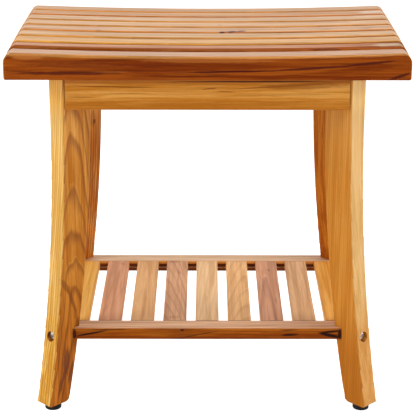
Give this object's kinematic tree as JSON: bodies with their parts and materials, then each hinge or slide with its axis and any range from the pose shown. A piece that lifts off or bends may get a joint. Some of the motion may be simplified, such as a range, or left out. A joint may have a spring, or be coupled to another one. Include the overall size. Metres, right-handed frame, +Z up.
{
  "type": "shower bench",
  "caption": "Freestanding teak shower bench with a saddle-topped slatted seat, curved diagonal legs, a slatted storage shelf and levelling feet.",
  "frame": {"origin": "on the floor, below the middle of the seat", "axes": "+X to the right along the slats, +Y to the back, +Z up; the pictured front faces -Y"},
  "size_m": [0.476, 0.319, 0.4572],
  "materials": {
    "teak_seat": "oiled teak, satin",
    "teak_frame": "oiled teak, satin",
    "teak_legs": "oiled teak, satin",
    "teak_shelf": "oiled teak, satin",
    "stainless_steel": "stainless steel, lightly turned",
    "brass": "plain turned brass",
    "foot_rubber": "moulded black rubber, matt"
  },
  "bodies": {
    "bench": {"seat_slat_1": "teak_seat", "seat_slat_2": "teak_seat", "seat_slat_3": "teak_seat", "seat_slat_4": "teak_seat", "seat_slat_5": "teak_seat", "seat_slat_6": "teak_seat", "seat_slat_7": "teak_seat", "seat_slat_8": "teak_seat", "seat_slat_9": "teak_seat", "seat_batten_left": "teak_frame", "seat_batten_centre": "teak_frame", "seat_batten_right": "teak_frame", "seat_slat_screws": "stainless_steel", "apron_front": "teak_frame", "apron_back": "teak_frame", "apron_left": "teak_frame", "apron_right": "teak_frame", "corner_block_front_left": "teak_frame", "corner_block_front_right": "teak_frame", "corner_block_back_left": "teak_frame", "corner_block_back_right": "teak_frame", "corner_block_screws": "stainless_steel", "leg_front_left": "teak_legs", "leg_front_right": "teak_legs", "leg_back_left": "teak_legs", "leg_back_right": "teak_legs", "leg_bolts": "stainless_steel", "leg_bolt_washers": "stainless_steel", "leg_inserts": "brass", "shelf_rail_front": "teak_shelf", "shelf_rail_back": "teak_shelf", "shelf_slat_1": "teak_shelf", "shelf_slat_2": "teak_shelf", "shelf_slat_3": "teak_shelf", "shelf_slat_4": "teak_shelf", "shelf_slat_5": "teak_shelf", "shelf_slat_6": "teak_shelf", "shelf_slat_7": "teak_shelf", "shelf_slat_8": "teak_shelf", "shelf_slat_9": "teak_shelf", "shelf_bolts": "stainless_steel", "shelf_inserts": "brass", "foot_inserts": "brass"},
    "stem_front_left": {"foot_stem_front_left": "stainless_steel"},
    "pad_front_left": {"foot_pad_front_left": "foot_rubber"},
    "stem_front_right": {"foot_stem_front_right": "stainless_steel"},
    "pad_front_right": {"foot_pad_front_right": "foot_rubber"},
    "stem_back_left": {"foot_stem_back_left": "stainless_steel"},
    "pad_back_left": {"foot_pad_back_left": "foot_rubber"},
    "stem_back_right": {"foot_stem_back_right": "stainless_steel"},
    "pad_back_right": {"foot_pad_back_right": "foot_rubber"}
  },
  "joints": [
    {"name": "foot_travel_front_left", "type": "slide", "parent": "bench", "child": "stem_front_left", "axis": [0, 0, -1], "range_m": [0, 0.008]},
    {"name": "foot_turn_front_left", "type": "hinge", "parent": "stem_front_left", "child": "pad_front_left", "pos_m": [-0.19351, -0.14011, 0], "axis": [0, 0, -1], "range_deg": [0, 2304]},
    {"name": "foot_travel_front_right", "type": "slide", "parent": "bench", "child": "stem_front_right", "axis": [0, 0, -1], "range_m": [0, 0.008]},
    {"name": "foot_turn_front_right", "type": "hinge", "parent": "stem_front_right", "child": "pad_front_right", "pos_m": [0.19351, -0.14011, 0], "axis": [0, 0, -1], "range_deg": [0, 2304]},
    {"name": "foot_travel_back_left", "type": "slide", "parent": "bench", "child": "stem_back_left", "axis": [0, 0, -1], "range_m": [0, 0.008]},
    {"name": "foot_turn_back_left", "type": "hinge", "parent": "stem_back_left", "child": "pad_back_left", "pos_m": [-0.19351, 0.14011, 0], "axis": [0, 0, -1], "range_deg": [0, 2304]},
    {"name": "foot_travel_back_right", "type": "slide", "parent": "bench", "child": "stem_back_right", "axis": [0, 0, -1], "range_m": [0, 0.008]},
    {"name": "foot_turn_back_right", "type": "hinge", "parent": "stem_back_right", "child": "pad_back_right", "pos_m": [0.19351, 0.14011, 0], "axis": [0, 0, -1], "range_deg": [0, 2304]}
  ],
  "couplings": [
    {"joint": "foot_travel_front_left", "follows": "foot_turn_front_left", "m_per_rad": 0.00019894},
    {"joint": "foot_travel_front_right", "follows": "foot_turn_front_right", "m_per_rad": 0.00019894},
    {"joint": "foot_travel_back_left", "follows": "foot_turn_back_left", "m_per_rad": 0.00019894},
    {"joint": "foot_travel_back_right", "follows": "foot_turn_back_right", "m_per_rad": 0.00019894}
  ]
}
